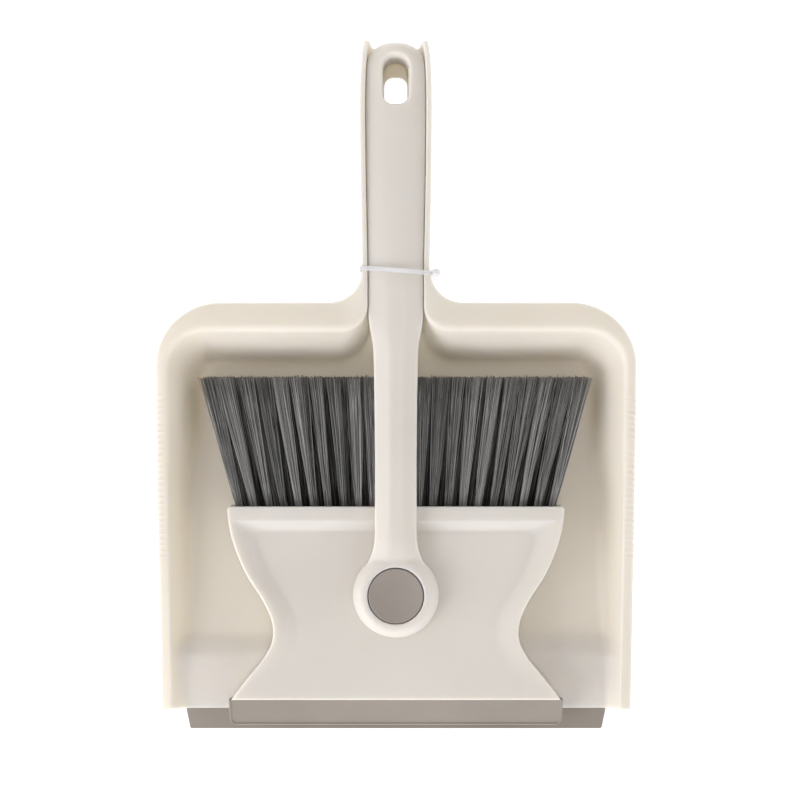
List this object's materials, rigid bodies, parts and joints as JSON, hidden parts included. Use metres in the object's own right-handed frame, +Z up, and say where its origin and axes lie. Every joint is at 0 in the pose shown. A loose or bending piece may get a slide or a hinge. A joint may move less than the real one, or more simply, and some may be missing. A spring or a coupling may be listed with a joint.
{
  "type": "dust pan and brush set",
  "caption": "Flat dust pan with a channel handle, soft front lip and a nested hand brush whose hourglass head swivels half a turn between bristles and a squeegee blade.",
  "frame": {"origin": "on the floor under the middle of the whole set, with the pan lying flat", "axes": "+Y from the soft lip to the end of the handles, +Z up from the floor, +X to the right"},
  "size_m": [0.252, 0.3618, 0.051],
  "materials": {
    "cream_plastic": "satin moulded polypropylene",
    "taupe_rubber": "matt thermoplastic rubber",
    "taupe_plastic": "satin moulded plastic",
    "grey_bristle": "crimped synthetic filament",
    "steel": "zinc plated",
    "clear_plastic": "translucent nylon"
  },
  "bodies": {
    "pan": {"pan_tray": "cream_plastic", "pan_lip": "taupe_rubber", "handle_tie": "clear_plastic"},
    "brush_handle": {"brush_handle": "cream_plastic", "button_spring": "steel", "pivot_washer": "steel", "pivot_screw": "steel"},
    "button": {"swivel_button": "taupe_plastic"},
    "brush_head": {"head_front_shell": "cream_plastic", "head_back_cover": "cream_plastic", "squeegee_blade": "taupe_rubber", "tuft_block": "cream_plastic", "detent_spring": "steel", "bristle_row_1": "grey_bristle", "bristle_row_2": "grey_bristle", "bristle_row_3": "grey_bristle", "bristle_row_4": "grey_bristle", "head_screw_1": "steel", "head_screw_2": "steel", "head_screw_3": "steel", "head_screw_4": "steel"}
  },
  "joints": [
    {"name": "brush_lift", "type": "slide", "parent": "pan", "child": "brush_handle", "axis": [0, 0, 1], "range_m": [0, 0.1], "deforming": ["handle_tie"]},
    {"name": "head_swivel", "type": "hinge", "parent": "brush_handle", "child": "brush_head", "pos_m": [0, -0.1066, 0.017], "axis": [0, 0, 1], "range_deg": [0, 180], "deforming": ["bristle_row_1", "bristle_row_2", "bristle_row_3", "bristle_row_4", "detent_spring"]},
    {"name": "button_press", "type": "slide", "parent": "brush_handle", "child": "button", "axis": [0, 0, -1], "range_m": [0, 0.003], "stiffness_N_per_m": 400, "springref_m": -0.005, "deforming": ["button_spring"]}
  ]
}
